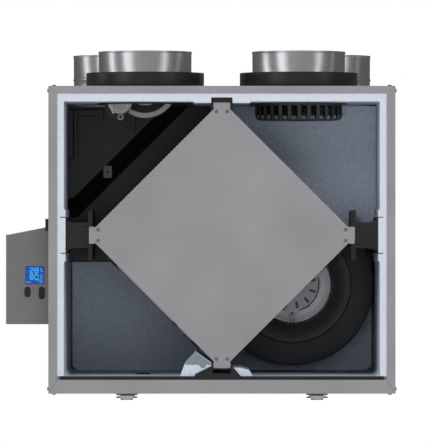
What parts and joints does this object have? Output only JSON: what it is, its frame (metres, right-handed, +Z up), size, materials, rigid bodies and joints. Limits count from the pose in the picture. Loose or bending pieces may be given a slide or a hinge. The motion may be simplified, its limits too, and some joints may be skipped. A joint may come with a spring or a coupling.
{
  "type": "heat recovery unit",
  "caption": "Wall-hung heat recovery ventilator with its door off: foam-lined steel casing, crossflow core, fans, defrost damper and duct collars on top.",
  "frame": {"origin": "centre of the back panel's outer face, which lies against the wall", "axes": "+Z up, +Y towards the wall, +X to the right as seen from the open front"},
  "size_m": [0.6348, 0.43, 0.5705],
  "materials": {
    "casing_steel": "satin grey",
    "core_steel": "matte grey",
    "galvanised": "galvanised",
    "foam": "moulded foam beads",
    "black_plastic": "fine grain",
    "grey_plastic": "fine grain",
    "filter_media": "washable mesh",
    "core_film": "stacked corrugated film",
    "motor_metal": "cast, satin",
    "screen": "lit blue display",
    "circuit_board": "satin"
  },
  "bodies": {
    "unit": {"casing_back": "casing_steel", "casing_left": "casing_steel", "casing_right": "casing_steel", "casing_top": "casing_steel", "casing_bottom": "casing_steel", "insulation_left": "foam", "insulation_right": "foam", "insulation_top": "foam", "insulation_floor": "foam", "insulation_back": "foam", "upper_right_wall": "foam", "riser_shelf": "foam", "upper_left_partition": "black_plastic", "rear_divider": "black_plastic", "core_guide_left": "black_plastic", "core_guide_right": "black_plastic", "core_guide_top": "black_plastic", "front_sill": "black_plastic", "drain_fitting": "black_plastic", "blower_scroll": "black_plastic", "blower_inlet_ring": "black_plastic", "supply_motor": "motor_metal", "supply_motor_mount": "motor_metal", "collar_front_left": "galvanised", "collar_front_right": "galvanised", "collar_rear_left": "galvanised", "collar_rear_right": "galvanised", "outer_ring_left": "black_plastic", "outer_ring_right": "black_plastic", "port_liner": "black_plastic", "damper_seat": "black_plastic", "damper_motor": "motor_metal", "exhaust_guard": "black_plastic", "exhaust_motor": "motor_metal", "exhaust_motor_mount": "casing_steel", "control_box": "grey_plastic", "display_panel": "screen", "control_board": "circuit_board", "cord_clamp": "black_plastic", "latch_base_left": "casing_steel", "latch_base_right": "casing_steel", "temperature_sensor": "grey_plastic"},
    "core": {"core_front_plate": "core_steel", "core_rear_plate": "core_steel", "exchanger_block": "core_film", "core_post_top": "core_steel", "core_post_bottom": "core_steel", "core_post_left": "core_steel", "core_post_right": "core_steel", "filter_lower": "filter_media"},
    "upper_filter": {"filter_upper": "filter_media"},
    "supply_rotor": {"supply_impeller": "grey_plastic"},
    "exhaust_rotor": {"exhaust_impeller": "grey_plastic"},
    "damper": {"damper_flap": "black_plastic"},
    "damper_drive": {"damper_crank": "black_plastic"},
    "left_latch": {"latch_lever_left": "grey_plastic"},
    "right_latch": {"latch_lever_right": "grey_plastic"},
    "left_button": {"button_left": "black_plastic"},
    "right_button": {"button_right": "black_plastic"}
  },
  "joints": [
    {"name": "core_slide", "type": "slide", "parent": "unit", "child": "core", "axis": [0, -1, 0], "range_m": [0, 0.25]},
    {"name": "filter_lift", "type": "slide", "parent": "core", "child": "upper_filter", "axis": [-0.7071, 0, 0.7071], "range_m": [0, 0.02]},
    {"name": "supply_fan_spin", "type": "hinge", "parent": "unit", "child": "supply_rotor", "pos_m": [0.1185, -0.145, -0.0749], "axis": [0, 1, 0], "continuous": true},
    {"name": "exhaust_fan_spin", "type": "hinge", "parent": "unit", "child": "exhaust_rotor", "pos_m": [0.1265, -0.315, 0.236], "axis": [0, 0, 1], "continuous": true},
    {"name": "damper_turn", "type": "hinge", "parent": "unit", "child": "damper", "pos_m": [-0.1265, -0.315, 0.254], "axis": [1, 0, 0], "range_deg": [0, 90]},
    {"name": "crank_turn", "type": "hinge", "parent": "unit", "child": "damper_drive", "pos_m": [-0.168, -0.3232, 0.2274], "axis": [0, 1, 0], "range_deg": [0, 90]},
    {"name": "left_latch_turn", "type": "hinge", "parent": "unit", "child": "left_latch", "pos_m": [-0.155, -0.422, -0.2565], "axis": [-1, 0, 0], "range_deg": [0, 90]},
    {"name": "right_latch_turn", "type": "hinge", "parent": "unit", "child": "right_latch", "pos_m": [0.155, -0.422, -0.2565], "axis": [-1, 0, 0], "range_deg": [0, 90]},
    {"name": "left_button_press", "type": "slide", "parent": "unit", "child": "left_button", "axis": [0, 1, 0], "range_m": [0, 0.0015], "stiffness_N_per_m": 200, "springref_m": -0.0005},
    {"name": "right_button_press", "type": "slide", "parent": "unit", "child": "right_button", "axis": [0, 1, 0], "range_m": [0, 0.0015], "stiffness_N_per_m": 200, "springref_m": -0.0005}
  ],
  "couplings": [
    {"joint": "crank_turn", "follows": "damper_turn", "ratio": 1}
  ]
}
